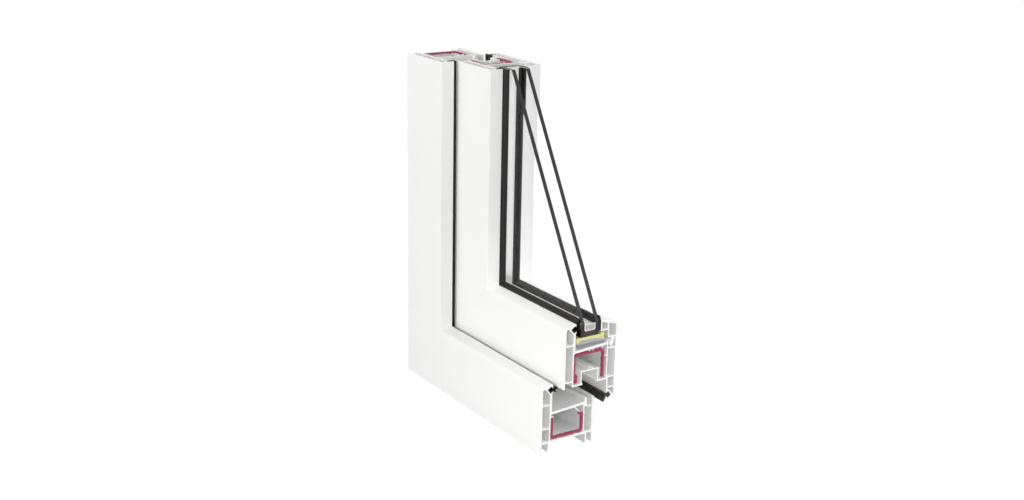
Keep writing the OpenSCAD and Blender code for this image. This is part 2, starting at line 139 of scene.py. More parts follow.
# %% [markdown]
# ## Floor and sky
# The sample stands on a white table against white. To the eye, in mirrors and through glass the floor is
# mostly plain white, with a share of real shading left in it, so that the sample keeps its soft shadow. To
# all other light it is a pale grey table. The sky is made alike: white to look at, and weaker as a lamp. A
# backdrop made white by lamps would need far more light, and the white plastic would burn out.

# %% Floor
FLOOR_SIZE, FLOOR_DROP = 12, 0.4 * mm
# the glow is a little over white, because the rest of the mix is the darker, shaded table
TABLE_GLOW, GLOW_SHARE = 1.08, 0.92


def direct_view(tree):
    """1 for rays that show a thing to the eye, also in a mirror or through glass, and 0 for other rays."""
    path = put(tree, "ShaderNodeLightPath")
    seen = path.outputs["Is Camera Ray"]
    for ray in ("Is Glossy Ray", "Is Transmission Ray"):
        either = put(tree, "ShaderNodeMath", {0: seen, 1: path.outputs[ray]}, operation="MAXIMUM")
        seen = either.outputs[0]
    return seen


bpy.ops.object.select_all(action="DESELECT")
bpy.ops.mesh.primitive_plane_add(size=FLOOR_SIZE, location=(0, 0, -FLOOR_DROP))
floor = bpy.context.object
floor.name = "floor"

white_table, tree = new_material("white_table")
share = put(tree, "ShaderNodeMath", {0: direct_view(tree), 1: GLOW_SHARE}, operation="MULTIPLY")
shaded = put(tree, "ShaderNodeBsdfDiffuse", {"Color": linear("d2d2d2")})
glow = put(tree, "ShaderNodeEmission", {"Color": WHITE, "Strength": TABLE_GLOW})
mixed = put(tree, "ShaderNodeMixShader", {0: share.outputs[0], 1: shaded.outputs[0], 2: glow.outputs[0]})
put(tree, "ShaderNodeOutputMaterial", {"Surface": mixed.outputs[0]})
floor.data.materials.append(white_table)
print("floor:", FLOOR_SIZE, "m square")

# %% Sky
SKY_STRENGTH = 0.36
world = bpy.data.worlds.new("studio_sky")
bpy.context.scene.world = world
world.use_nodes = True
tree = world.node_tree
tree.nodes.clear()
strength = put(tree, "ShaderNodeMix", {FACTOR: direct_view(tree), FLOAT_A: SKY_STRENGTH, FLOAT_B: 1.0},
               data_type="FLOAT")
sky = put(tree, "ShaderNodeBackground", {"Color": WHITE, "Strength": strength.outputs[MIXED_FLOAT]})
put(tree, "ShaderNodeOutputWorld", {"Surface": sky.outputs[0]})
bpy.context.scene.view_settings.view_transform = "Standard"
print("sky lights the sample at", SKY_STRENGTH, "of white")

# %% [markdown]
# ## Lamps
# Soft lamps stand round the sample as in a studio. The one in front gives the flat white of the outdoor
# face, and the others fill the sides, at a level at which white plastic shows as white plastic and does not
# burn out. Soft lamps alone leave the open chambers dark, so two narrow beams shine into the cut end: one
# from close to the camera, which lights what the camera sees, and one from the room side.

# %% Softboxes
LAMPS = {  # place in metres, watts, size in metres
    "front_softbox": ((0.05, -2.00, 0.70), 17.6, 0.4),
    "camera_softbox": ((1.69, -1.23, 0.80), 7.0, 0.6),
    "end_softbox": ((1.60, 0.75, 0.55), 2.4, 1.2),
    "room_softbox": ((0.85, 1.85, 0.80), 10.0, 1.2),
    "top_softbox": ((0.20, 0.40, 1.65), 7.0, 1.0),
}
LAMP_AIM = Vector((0, 0, 0.15))


def hang_lamp(name, kind, watts, place, aim):
    """A lamp of one kind and power at a place, turned to the point that it lights."""
    lamp = bpy.data.objects.new(name, bpy.data.lights.new(name, kind))
    lamp.data.energy = watts
    lamp.location = place
    lamp.rotation_euler = (aim - place).to_track_quat("-Z", "Y").to_euler()
    bpy.context.scene.collection.objects.link(lamp)
    return lamp


for name, (place, watts, size) in LAMPS.items():
    softbox = hang_lamp(name, "AREA", watts, Vector(place), LAMP_AIM)
    softbox.data.size = size
    softbox.visible_camera = False
print("softboxes:", ", ".join(LAMPS))

# %% Beams into the cut end
END_BEAMS = {  # direction from the cut end, watts
    "beam_outdoors": ((0.83, -0.48, 0.29), 8.5),
    "beam_indoors": ((0.84, 0.43, 0.33), 9.0),
}
BEAM_AIM = Vector((0.12, 0.005, 0.06))
BEAM_LENGTH, BEAM_ANGLE = 1.1, math.radians(17)
BEAM_SOFTNESS, BEAM_FADE = 0.06, 1.0
for name, (way, watts) in END_BEAMS.items():
    beam = hang_lamp(name, "SPOT", watts, BEAM_AIM + BEAM_LENGTH * Vector(way), BEAM_AIM)
    beam.data.spot_size = BEAM_ANGLE
    beam.data.spot_blend = BEAM_FADE
    beam.data.shadow_soft_size = BEAM_SOFTNESS
print("beams:", ", ".join(END_BEAMS))

# %% [markdown]
# ## White window plastic
# The profiles are extruded PVC-U. The die leaves it smooth, with a satin gloss and the faintest lines along
# its length, and the welded mitre shows as a hairline. The sawn ends are duller. All of it is worked out
# from object coordinates and normals: the lines run along one axis, so the two legs of the corner take one
# function with that axis. Unwrapping the profiles for a drawn pattern would take long and show seams on
# their thin walls.

# %% Patterns that follow a leg
# a face looks along an axis when its normal has more than this share of the axis in it
SQUARE_ON = 0.9


def streaks(tree, place, along, width, stretch):
    """Lines along one axis, 0 for X and 2 for Z: a noise of that width, drawn out along the axis."""
    scale = [1.0, 1.0, 1.0]
    scale[along] = stretch
    drawn_out = put(tree, "ShaderNodeMapping", {"Vector": place.outputs["Object"], "Scale": scale})
    lines = put(tree, "ShaderNodeTexNoise", {"Vector": drawn_out.outputs[0], "Scale": 1 / width})
    return lines.outputs["Fac"]


def facing_along(tree, place, axis):
    """1 on the faces that look along one axis, 0 for X and 2 for Z, and 0 on all others."""
    facing = put(tree, "ShaderNodeSeparateXYZ", {0: place.outputs["Normal"]})
    squarely = put(tree, "ShaderNodeMath", {0: facing.outputs[axis], 1: SQUARE_ON}, operation="GREATER_THAN")
    return squarely.outputs[0]


print("patterns ready: streaks, facing_along")

# %% The mitre's hairline
SEAM_HALF, SEAM_FADE = 0.22 * mm, 2.2
corner = cad_low.copy()


def mitre_line(tree, place):
    """1 on the mitre, which rises at 45 degrees from the outer corner, fading to 0 beside it."""
    axes = put(tree, "ShaderNodeSeparateXYZ", {0: place.outputs["Object"]})
    run = put(tree, "ShaderNodeMath", {0: axes.outputs["X"], 1: corner.x}, operation="SUBTRACT")
    off_mitre = put(tree, "ShaderNodeMath", {0: run.outputs[0], 1: axes.outputs["Z"]}, operation="SUBTRACT")
    distance = put(tree, "ShaderNodeMath", {0: off_mitre.outputs[0]}, operation="ABSOLUTE")
    line = put(tree, "ShaderNodeMapRange", {
        "Value": distance.outputs[0], "From Min": SEAM_HALF, "From Max": SEAM_HALF * SEAM_FADE,
        "To Min": 1.0, "To Max": 0.0})
    return line.outputs[0]


print("outer corner in mm:", [round(v / mm, 1) for v in corner])

# %% PVC-U
DIE_LINE, DIE_STRETCH = 1.6 * mm, 0.004
DIE_RELIEF, DIE_BUMP = 0.05 * mm, 0.10
WALL_WAVE = 24 * mm
SEAM_RELIEF, SEAM_BUMP = 0.1 * mm, 0.2
# a saw's real marks are too fine to show, so they are drawn as soft bands, two or three to this length
SAW_SWEEP, SAW_TURN, SAW_WANDER = 22 * mm, math.radians(35), 1.5
SATIN, SAWN_ROUGHNESS = (0.26, 0.36), 0.62
PVC_IOR = 1.53
SCATTER, SCATTER_DEPTH = 0.1, 2 * mm


def extruded_pvc(name, along, hairline_or_gap_shade):
    """White PVC-U extruded along one axis, 0 for X and 2 for Z, with its mitre line in the given hex colour:
    a weld's own tone, or painted shade where the mitre is a butted gap.
    """
    made, tree = new_material(name)
    place = put(tree, "ShaderNodeTexCoord")
    lines = streaks(tree, place, along, DIE_LINE, DIE_STRETCH)
    sawn = facing_along(tree, place, along)
    mitre = mitre_line(tree, place)

    wave = put(tree, "ShaderNodeTexNoise", {"Vector": place.outputs["Object"], "Scale": 1 / WALL_WAVE})
    tint = put(tree, "ShaderNodeMix", {FACTOR: wave.outputs["Fac"], COLOUR_A: linear("f8f8f7"),
                                       COLOUR_B: linear("fafaf9")}, data_type="RGBA")
    # on the beads the mitre's colour is painted shade in the butted gap; on the welded profiles it is the
    # weld's own tone
    colour = put(tree, "ShaderNodeMix", {FACTOR: mitre, COLOUR_A: tint.outputs[MIXED_COLOUR],
                                         COLOUR_B: linear(hairline_or_gap_shade)}, data_type="RGBA")
    satin = put(tree, "ShaderNodeMapRange", {"Value": lines, "To Min": SATIN[0], "To Max": SATIN[1]})
    dull = put(tree, "ShaderNodeMix", {FACTOR: sawn, FLOAT_A: satin.outputs[0], FLOAT_B: SAWN_ROUGHNESS},
               data_type="FLOAT")

    saw_at = put(tree, "ShaderNodeMapping", {"Vector": place.outputs["Object"],
                                             "Rotation": (SAW_TURN, SAW_TURN, 0)})
    saw_marks = put(tree, "ShaderNodeTexWave", {"Vector": saw_at.outputs[0], "Scale": 1 / SAW_SWEEP,
                                                "Distortion": SAW_WANDER}, bands_direction="DIAGONAL")
    relief = put(tree, "ShaderNodeMix", {FACTOR: sawn, FLOAT_A: lines, FLOAT_B: saw_marks.outputs["Fac"]},
                 data_type="FLOAT")
    fine = put(tree, "ShaderNodeBump", {"Height": relief.outputs[MIXED_FLOAT], "Strength": DIE_BUMP,
                                        "Distance": DIE_RELIEF})
    groove = put(tree, "ShaderNodeBump", {"Height": mitre, "Strength": SEAM_BUMP, "Distance": SEAM_RELIEF,
                                          "Normal": fine.outputs[0]}, invert=True)
    surface = put(tree, "ShaderNodeBsdfPrincipled", {
        "Base Color": colour.outputs[MIXED_COLOUR], "Roughness": dull.outputs[MIXED_FLOAT], "IOR": PVC_IOR,
        "Normal": groove.outputs[0], "Subsurface Weight": SCATTER, "Subsurface Scale": SCATTER_DEPTH,
        "Subsurface Radius": (1, 1, 1)})
    put(tree, "ShaderNodeOutputMaterial", {"Surface": surface.outputs[0]})
    return made


# the hairline of a welded and cleaned mitre is nearly white; a butted bead's mitre is a gap, and its grey is
# painted shade inside that gap
WELD, GAP_SHADE = "f4f4f3", "c4c6c4"
pvc_level = extruded_pvc("extruded_pvc_level", 0, WELD)
pvc_upright = extruded_pvc("extruded_pvc_upright", 2, WELD)
bead_level = extruded_pvc("bead_pvc_level", 0, GAP_SHADE)
bead_upright = extruded_pvc("bead_pvc_upright", 2, GAP_SHADE)
print("plastic materials: 4")

# %% [markdown]
# ## Galvanised steel with painted ends
# The cores are strip steel, zinc-coated and rolled to channels. Zinc dulls to a pale, chalky grey that
# mirrors little, with small crystal patches and lines from the rolls. On this sample the sawn ends are
# painted crimson so that the steel reads at a glance. The paint goes by the way a face looks and by its
# distance from the end, with a ragged edge where the brush ran over. Cutting the paint out as faces of its
# own would give too clean an edge.

# %% Zinc and crimson
ZINC_PATCH, ZINC_METALLIC, ZINC_DULL = 3.5 * mm, 0.06, (0.34, 0.52)
ROLL_LINE, ROLL_STRETCH, ROLL_SHARE = 2.2 * mm, 0.01, 0.55
BRUSH_EDGE, PAINT_OVER = 2 * mm, 1.6 * mm
ZINC_RELIEF, ZINC_BUMP = 0.1 * mm, 0.15


def zinc_steel(name, along, end):
    """Zinc-coated steel along one axis, 0 for X and 2 for Z, painted where it ends at that coordinate."""
    made, tree = new_material(name)
    place = put(tree, "ShaderNodeTexCoord")
    patches = put(tree, "ShaderNodeTexVoronoi", {"Vector": place.outputs["Object"], "Scale": 1 / ZINC_PATCH})
    grey = put(tree, "ShaderNodeRGBToBW", {0: patches.outputs["Color"]})
    rolled = streaks(tree, place, along, ROLL_LINE, ROLL_STRETCH)
    tone = put(tree, "ShaderNodeMix", {FACTOR: ROLL_SHARE, FLOAT_A: grey.outputs[0], FLOAT_B: rolled},
               data_type="FLOAT")
    bare = put(tree, "ShaderNodeMix", {FACTOR: tone.outputs[MIXED_FLOAT], COLOUR_A: linear("dee0e0"),
                                       COLOUR_B: linear("f3f4f4")}, data_type="RGBA")

    ragged = put(tree, "ShaderNodeTexNoise", {"Vector": place.outputs["Object"], "Scale": 1 / BRUSH_EDGE})
    axes = put(tree, "ShaderNodeSeparateXYZ", {0: place.outputs["Object"]})
    reached = put(tree, "ShaderNodeMath", {0: ragged.outputs["Fac"], 1: 2 * PAINT_OVER,
                                           2: axes.outputs[along]}, operation="MULTIPLY_ADD")
    near_end = put(tree, "ShaderNodeMath", {0: reached.outputs[0], 1: end}, operation="GREATER_THAN")
    sawn = facing_along(tree, place, along)
    paint = put(tree, "ShaderNodeMath", {0: near_end.outputs[0], 1: sawn}, operation="MAXIMUM")

    colour = put(tree, "ShaderNodeMix", {FACTOR: paint.outputs[0], COLOUR_A: bare.outputs[MIXED_COLOUR],
                                         COLOUR_B: linear("9c2a50")}, data_type="RGBA")
    metal = put(tree, "ShaderNodeMapRange", {"Value": paint.outputs[0], "To Min": ZINC_METALLIC,
                                             "To Max": 0.0})
    dull = put(tree, "ShaderNodeMapRange", {"Value": grey.outputs[0], "To Min": ZINC_DULL[0],
                                            "To Max": ZINC_DULL[1]})
    bumps = put(tree, "ShaderNodeBump", {"Height": ragged.outputs["Fac"], "Strength": ZINC_BUMP,
                                         "Distance": ZINC_RELIEF})
    surface = put(tree, "ShaderNodeBsdfPrincipled", {
        "Base Color": colour.outputs[MIXED_COLOUR], "Metallic": metal.outputs[0],
        "Roughness": dull.outputs[0], "Normal": bumps.outputs[0]})
    put(tree, "ShaderNodeOutputMaterial", {"Surface": surface.outputs[0]})
    return made


def cut_end(node, along):
    """Coordinate of a node's far end along one axis."""
    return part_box(node)[1][along]


STEELS = {"frame_steel_sill": 0, "sash_steel_rail": 0, "frame_steel_jamb": 2, "sash_steel_stile": 2}
zinc = {node: zinc_steel("zinc_" + node, along, cut_end(node, along)) for node, along in STEELS.items()}
print("steel ends in mm:", {node: round(cut_end(node, along) / mm, 1) for node, along in STEELS.items()})

# %% [markdown]
# ## Gasket rubber, sealant and the small plastics
# The gaskets are extruded EPDM with a soft shine along their lips: black, and a browner black in the
# overlap. The unit's edge sealant is a dark brown paste that cured dull. The setting block and its bridge
# are moulded polypropylene, with a half-matt, slightly waxy skin. Each is a plain colour with a little
# unevenness in tone, gloss and relief at the size the real one has, so one function with those sizes makes
# them all.

# %% Rubber, sealant, moulded plastic
GRAIN_DETAIL, GRAIN_BUMP = 3.0, 0.25
RUBBER_SHINE = 0.28


def moulded(name, dark, light, grain, roughness, relief, shine=0.5):
    """A moulded or extruded material: two tones mixed by a grain of that size, a roughness range, relief."""
    made, tree = new_material(name)
    place = put(tree, "ShaderNodeTexCoord")
    grains = put(tree, "ShaderNodeTexNoise", {"Vector": place.outputs["Object"], "Scale": 1 / grain,
                                              "Detail": GRAIN_DETAIL})
    colour = put(tree, "ShaderNodeMix", {FACTOR: grains.outputs["Fac"], COLOUR_A: linear(dark),
                                         COLOUR_B: linear(light)}, data_type="RGBA")
    dull = put(tree, "ShaderNodeMapRange", {"Value": grains.outputs["Fac"], "To Min": roughness[0],
                                            "To Max": roughness[1]})
    bumps = put(tree, "ShaderNodeBump", {"Height": grains.outputs["Fac"], "Strength": GRAIN_BUMP,
                                         "Distance": relief})
    surface = put(tree, "ShaderNodeBsdfPrincipled", {
        "Base Color": colour.outputs[MIXED_COLOUR], "Roughness": dull.outputs[0],
        "Normal": bumps.outputs[0], "Specular IOR Level": shine})
    put(tree, "ShaderNodeOutputMaterial", {"Surface": surface.outputs[0]})
    return made


epdm = moulded("epdm_rubber", "151413", "1f1e1c", grain=0.9 * mm, roughness=(0.34, 0.50),
               relief=0.03 * mm, shine=RUBBER_SHINE)
brown_epdm = moulded("brown_epdm_rubber", "2e2a26", "3a3530", grain=0.9 * mm, roughness=(0.36, 0.52),
                     relief=0.03 * mm, shine=RUBBER_SHINE)
sealant = moulded("polysulphide_sealant", "2a211e", "3d322d", grain=2.5 * mm, roughness=(0.55, 0.75),
                  relief=0.15 * mm)
yellow_plastic = moulded("yellow_polypropylene", "d8d58a", "e2df9c", grain=4.0 * mm,
                         roughness=(0.38, 0.50), relief=0.05 * mm)
grey_plastic = moulded("grey_polypropylene", "a3a3a8", "b4b4b9", grain=4.0 * mm, roughness=(0.40, 0.55),
                       relief=0.05 * mm)
print("small materials: two rubbers, sealant, two plastics")

# %% [markdown]
# ## Spacer bar
# The bar between the panes is thin mill aluminium, rolled to a flat box: bright, but too matt for a mirror.
# Two rows of small slits in its upper side let its drying agent reach the air between the panes, and the
# grains of the agent show where the bar is cut, each with painted shade: light in its middle and darker to
# its rim, where the grains would shade each other. The slits are too fine to be worth cutting as geometry,
# so the material places them by distance along the bar and across it.

# %% Slits and drying agent
SLIT_PITCH, SLIT_SHARE = 2.4 * mm, 0.45
SLIT_ROW, SLIT_HALF = 2.6 * mm, 0.35 * mm
# the second number is where the painted shade between agent grains is full: each grain is drawn light in its
# middle and darker out to its rim
FILL_GRAIN, FILL_SHADED_RIM, FILL_SUNK = 0.9 * mm, 0.8, 0.3 * mm


def slits(tree, place, axes, along, middle):
    """1 in the slits: dashes in two rows beside the bar's middle, on the side that looks into the unit."""
    across = 2 - along  # the other leg's axis
    step = put(tree, "ShaderNodeMath", {0: axes.outputs[along], 1: SLIT_PITCH}, operation="FLOORED_MODULO")
    dash = put(tree, "ShaderNodeMath", {0: step.outputs[0], 1: SLIT_PITCH * SLIT_SHARE},
               operation="LESS_THAN")
    off_middle = put(tree, "ShaderNodeMath", {0: axes.outputs["Y"], 1: middle}, operation="SUBTRACT")
    distance = put(tree, "ShaderNodeMath", {0: off_middle.outputs[0]}, operation="ABSOLUTE")
    in_row = put(tree, "ShaderNodeMath", {0: distance.outputs[0], 1: SLIT_ROW, 2: SLIT_HALF},
                 operation="COMPARE")
    dashes = put(tree, "ShaderNodeMath", {0: dash.outputs[0], 1: in_row.outputs[0]}, operation="MULTIPLY")
    on_top = put(tree, "ShaderNodeMath", {0: dashes.outputs[0], 1: facing_along(tree, place, across)},
                 operation="MULTIPLY")
    return on_top.outputs[0]


def filling(tree, place, axes, along, end):
    """1 on the drying agent, which lies a little below the bar's cut end."""
    sunk = put(tree, "ShaderNodeMath", {0: axes.outputs[along], 1: end - FILL_SUNK}, operation="LESS_THAN")
    fill = put(tree, "ShaderNodeMath", {0: facing_along(tree, place, along), 1: sunk.outputs[0]},
               operation="MULTIPLY")
    return fill.outputs[0]


print("spacer slits every", SLIT_PITCH / mm, "mm")

# %% Aluminium
ALUMINIUM_GRAIN, ALUMINIUM_DULL, ALUMINIUM_METALLIC = 1.2 * mm, (0.28, 0.40), 0.5


def spacer_aluminium(name, node, along):
    """Mill aluminium along one axis, 0 for X and 2 for Z, with slits on top and, in its cut end, agent grains
    with painted shade between them.
    """
    made, tree = new_material(name)
    low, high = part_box(node)
    place = put(tree, "ShaderNodeTexCoord")
    axes = put(tree, "ShaderNodeSeparateXYZ", {0: place.outputs["Object"]})
    slit = slits(tree, place, axes, along, (low.y + high.y) / 2)
    fill = filling(tree, place, axes, along, high[along])

    rolled = put(tree, "ShaderNodeTexNoise", {"Vector": place.outputs["Object"],
                                              "Scale": 1 / ALUMINIUM_GRAIN})
    metal = put(tree, "ShaderNodeMix", {FACTOR: rolled.outputs["Fac"], COLOUR_A: linear("e8e8e7"),
                                        COLOUR_B: linear("f4f4f3")}, data_type="RGBA")
    # painted shade between the agent's grains: its own beige-grey, light in each grain's middle and darker to
    # the rim
    grains = put(tree, "ShaderNodeTexVoronoi", {"Vector": place.outputs["Object"], "Scale": 1 / FILL_GRAIN})
    grain_rim_shade = put(tree, "ShaderNodeMapRange", {"Value": grains.outputs["Distance"],
                                                  "From Max": FILL_SHADED_RIM})
    agent = put(tree, "ShaderNodeMix", {FACTOR: grain_rim_shade.outputs[0], COLOUR_A: linear("d2cecb"),
                                        COLOUR_B: linear("a8a29e")}, data_type="RGBA")

    slitted = put(tree, "ShaderNodeMix", {FACTOR: slit, COLOUR_A: metal.outputs[MIXED_COLOUR],
                                          COLOUR_B: linear("d2d2d1")}, data_type="RGBA")
    colour = put(tree, "ShaderNodeMix", {FACTOR: fill, COLOUR_A: slitted.outputs[MIXED_COLOUR],
                                         COLOUR_B: agent.outputs[MIXED_COLOUR]}, data_type="RGBA")
    shine = put(tree, "ShaderNodeMapRange", {"Value": fill, "To Min": ALUMINIUM_METALLIC, "To Max": 0.0})
    dull = put(tree, "ShaderNodeMapRange", {"Value": rolled.outputs["Fac"], "To Min": ALUMINIUM_DULL[0],
                                            "To Max": ALUMINIUM_DULL[1]})
    surface = put(tree, "ShaderNodeBsdfPrincipled", {
        "Base Color": colour.outputs[MIXED_COLOUR], "Metallic": shine.outputs[0],
        "Roughness": dull.outputs[0]})
    put(tree, "ShaderNodeOutputMaterial", {"Surface": surface.outputs[0]})
    return made


spacer_level = spacer_aluminium("spacer_aluminium_level", "spacer_rail", 0)
spacer_upright = spacer_aluminium("spacer_aluminium_upright", "spacer_stile", 2)
print("spacer materials: 2")

# %% [markdown]
# ## Glass
# Float glass is all but colourless through its face and deep green to black at a cut edge, where the eye
# looks along the sheet. It bends what lies behind it, so the face is a refracting shader with a faint
# mirror mixed in by the angle of view. Lamps shine through a real pane, so shadow rays pass the face
# freely. The cut edge has its own dark material instead of relying on many bounces inside the sheet.

# %% Float glass and its cut edge
# a full mirror would veil the dark seals behind the panes with the white of the studio
GLASS_IOR, MIRROR_SHARE = 1.52, 0.18
float_glass, tree = new_material("float_glass")
path = put(tree, "ShaderNodeLightPath")
bent = put(tree, "ShaderNodeBsdfRefraction", {"Color": WHITE, "IOR": GLASS_IOR, "Roughness": 0.0})
mirror = put(tree, "ShaderNodeBsdfGlossy", {"Color": WHITE, "Roughness": 0.0})
slant = put(tree, "ShaderNodeFresnel", {"IOR": GLASS_IOR})
weak = put(tree, "ShaderNodeMath", {0: slant.outputs[0], 1: MIRROR_SHARE}, operation="MULTIPLY")
pane_mix = put(tree, "ShaderNodeMixShader", {0: weak.outputs[0], 1: bent.outputs[0], 2: mirror.outputs[0]})
clear = put(tree, "ShaderNodeBsdfTransparent", {"Color": WHITE})
glass_mix = put(tree, "ShaderNodeMixShader", {0: path.outputs["Is Shadow Ray"], 1: pane_mix.outputs[0],
                                              2: clear.outputs[0]})
put(tree, "ShaderNodeOutputMaterial", {"Surface": glass_mix.outputs[0]})
cut_glass = moulded("cut_glass_edge", "171a18", "292d2b", grain=1.5 * mm, roughness=(0.20, 0.40),
                    relief=0.10 * mm, shine=0.35)
print("glass materials: 2")

# %% [markdown]
# ## Editing helpers
# The soft pieces are all bars of one section, run along both legs of the corner and mitred. A bar is drawn
# as a maker draws a die: one point is extruded from corner to corner of the section, the ring is filled,
# its corners are rounded, and the face is pulled out along the leg. The second leg is a mirrored copy
# across the mitre, and each leg is cut to its own length. A curve with a bevel shape would be shorter, but
# its mitre would not be sharp.

# %% Draw a bar
# every bar is drawn a tenth longer than the sample is tall, and cut later
BAR_LENGTH = 1.1 * max(cad_high - cad_low)
ROUND_STEPS = 3


def pick(piece):
    """Selects one piece alone and makes it the active one."""
    bpy.ops.object.select_all(action="DESELECT")
    bpy.context.view_layer.objects.active = piece
    piece.select_set(True)


def edit(piece):
    """Opens one piece in edit mode with all of it selected."""
    pick(piece)
    bpy.ops.object.mode_set(mode="EDIT")
    bpy.ops.mesh.select_all(action="SELECT")


def draw_bar(name, outline, rounding):
    """A bar along X from a section's corners, as depth and height in mm from the sample's outer corner."""
    points = [corner + Vector((0, depth, height)) * mm for depth, height in outline]
    bpy.ops.object.select_all(action="DESELECT")
    bpy.ops.mesh.primitive_plane_add(size=mm, location=points[0])
    bar = bpy.context.object
    bar.name = bar.data.name = name
    bpy.ops.object.transform_apply(location=True, rotation=True, scale=True)
    edit(bar)
    bpy.ops.mesh.merge(type="CENTER")
    for here, there in zip(points, points[1:]):
        bpy.ops.mesh.extrude_vertices_move(TRANSFORM_OT_translate={"value": there - here})
    bpy.ops.mesh.select_all(action="SELECT")
    bpy.ops.mesh.edge_face_add()
    bpy.ops.mesh.bevel(offset=rounding, segments=ROUND_STEPS, affect="VERTICES", clamp_overlap=True)
    bpy.ops.mesh.select_all(action="SELECT")
    bpy.ops.mesh.extrude_region_move(TRANSFORM_OT_translate={"value": (BAR_LENGTH, 0, 0)})
    bpy.ops.mesh.select_all(action="SELECT")
    bpy.ops.mesh.normals_make_consistent(inside=False)
    bpy.ops.object.mode_set(mode="OBJECT")
    return bar


print("bars are drawn", round(BAR_LENGTH / mm, 1), "mm long and cut")

# %% Mirror and cut a bar
SMOOTH_BELOW = math.radians(40)


def mirrored_leg(bar, name):
    """A copy of a bar along X, mirrored across the mitre so that it runs up Z."""
    leg = bpy.data.objects.new(name, bar.data.copy())
    leg.data.name = name
    bpy.context.scene.collection.objects.link(leg)
    swap = Matrix(((0, 0, 1, 0), (0, 1, 0, 0), (1, 0, 0, 0), (0, 0, 0, 1)))
    leg.matrix_world = Matrix.Translation(corner) @ swap @ Matrix.Translation(-corner)
    pick(leg)
    bpy.ops.object.transform_apply(location=True, rotation=True, scale=True)
    edit(leg)
    bpy.ops.mesh.normals_make_consistent(inside=False)
    bpy.ops.object.mode_set(mode="OBJECT")
    return leg


def cut(piece, place, outward):
    """Saws a piece off on a plane and closes the cut."""
    edit(piece)
    bpy.ops.mesh.bisect(plane_co=place, plane_no=outward, use_fill=True, clear_outer=True)
    bpy.ops.object.mode_set(mode="OBJECT")


def both_legs(name, outline, rounding, finish, level_node, upright_node, replace=True):
    """The mitred legs of one soft section, as long as two nodes and, if replace is set, in their place."""
    level_leg = draw_bar(name + "_level", outline, rounding)
    upright_leg = mirrored_leg(level_leg, name + "_upright")
    cut(level_leg, corner, (-1, 0, 1))
    cut(level_leg, (cut_end(level_node, 0), 0, 0), (1, 0, 0))
    cut(upright_leg, corner, (1, 0, -1))
    cut(upright_leg, (0, 0, cut_end(upright_node, 2)), (0, 0, 1))
    for leg, node in ((level_leg, level_node), (upright_leg, upright_node)):
        pick(leg)
        bpy.ops.object.shade_smooth_by_angle(angle=SMOOTH_BELOW)
        leg.data.materials.append(finish)
        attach(leg, "root")
        if replace:
            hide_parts(node)
    print(name, "has", len(level_leg.data.polygons), "and", len(upright_leg.data.polygons), "faces")


print("editing helpers ready: draw_bar, mirrored_leg, cut, both_legs")

# %% [markdown]
# ## Gaskets
# All lipped gaskets have one foot, pressed into a slanted seat behind a lip of the profile, and two lips
# that fan out of its mouth. They differ in their lips: on the frame the upper one is thin and lies down
# against the sash, at the glass it is a fat wedge with a crown, and in the sash's overlap the whole gasket
# hangs upside down, with its other lip tucked in. The sections are written in mm from the front edge of the
# lip that carries them, as depth and height, because that is how a die is drawn. Tracing them as free
# curves would lose the seat they share.

# %% Where the gaskets sit
# heights of the two outdoor faces, and how far the overlap hangs below the sash, in mm
FRAME_FACE, SASH_FACE, OVERLAP_DROP = 65, 58.5, 20
# the overlap's turned section starts this far past the sash's indoor face and above its lower edge, in mm
TURN_PAST, TURN_ABOVE = 2.5, 1.6
sash_low, sash_high = ((place - corner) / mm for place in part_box("sash_rail"))
SASH_PLACE = (sash_low.y, sash_low.z + OVERLAP_DROP)
SASH_LIP = (SASH_PLACE[0], SASH_PLACE[1] + SASH_FACE)
FRAME_LIP = (0, FRAME_FACE)
OVERLAP_TURN = (sash_high.y + TURN_PAST, sash_low.z + TURN_ABOVE)
print("gaskets start at", [round(v, 1) for v in (*FRAME_LIP, *SASH_LIP, *OVERLAP_TURN)], "mm")

# %% Sections of the lipped gaskets
SEAT_AT, SEAT_TURN = Vector((10.6, -6.5)), math.radians(38)
FOOT = ((4.4, 5.2), (0.2, 5.2), (0.2, 0.2), (3.5, 0.2))
LOWER_LIP = ((14.9, -5.5), (16.7, -6.0), (17.2, -5.8), (17.0, -5.2), (15.4, -4.6), (14.2, -3.7))
THIN_LIP = ((15.6, -3.6), (17.2, -3.1), (17.97, -2.7), (17.97, -1.9), (17.5, -1.55), (15.8, -1.95),
            (14.2, -2.35), (13.3, -2.5))
WEDGE = ((15.4, -1.4), (16.8, 2.1), (17.6, 3.9), (17.97, 4.7), (17.97, 5.7), (17.5, 6.15), (16.6, 5.8),
         (15.2, 4.9), (14.0, 3.8), (13.35, 2.8), (13.75, 1.4), (13.5, -0.6), (13.3, -2.5))
TUCKED_LIP = ((14.9, -4.9), (15.9, -4.9), (16.3, -4.7), (16.1, -4.3), (15.2, -4.0), (14.2, -3.6))
HANGING_LIP = ((15.4, -1.6), (16.0, 0.9), (16.3, 2.9), (16.1, 3.6), (15.5, 3.6), (15.0, 2.7), (14.4, 1.0),
               (13.6, -0.8), (13.3, -2.5))


def seat_point(along, over):
    """A point of a gasket's seat, turned to where it lies behind the lip."""
    turned = Matrix.Rotation(SEAT_TURN, 2) @ Vector((along, over))
    return tuple(SEAT_AT + turned)


def gasket_outline(lower_lip, upper_lip, lip, turned=False):
    """The section of a gasket on the lip whose front edge is given, or hung upside down from that point."""
    way = -1 if turned else 1
    points = [seat_point(*p) for p in FOOT] + list(lower_lip) + list(upper_lip)
    return [(lip[0] + way * y, lip[1] + way * z) for y, z in points]


print("sections ready: a foot of", len(FOOT), "corners with lips of", len(LOWER_LIP), "to", len(WEDGE))

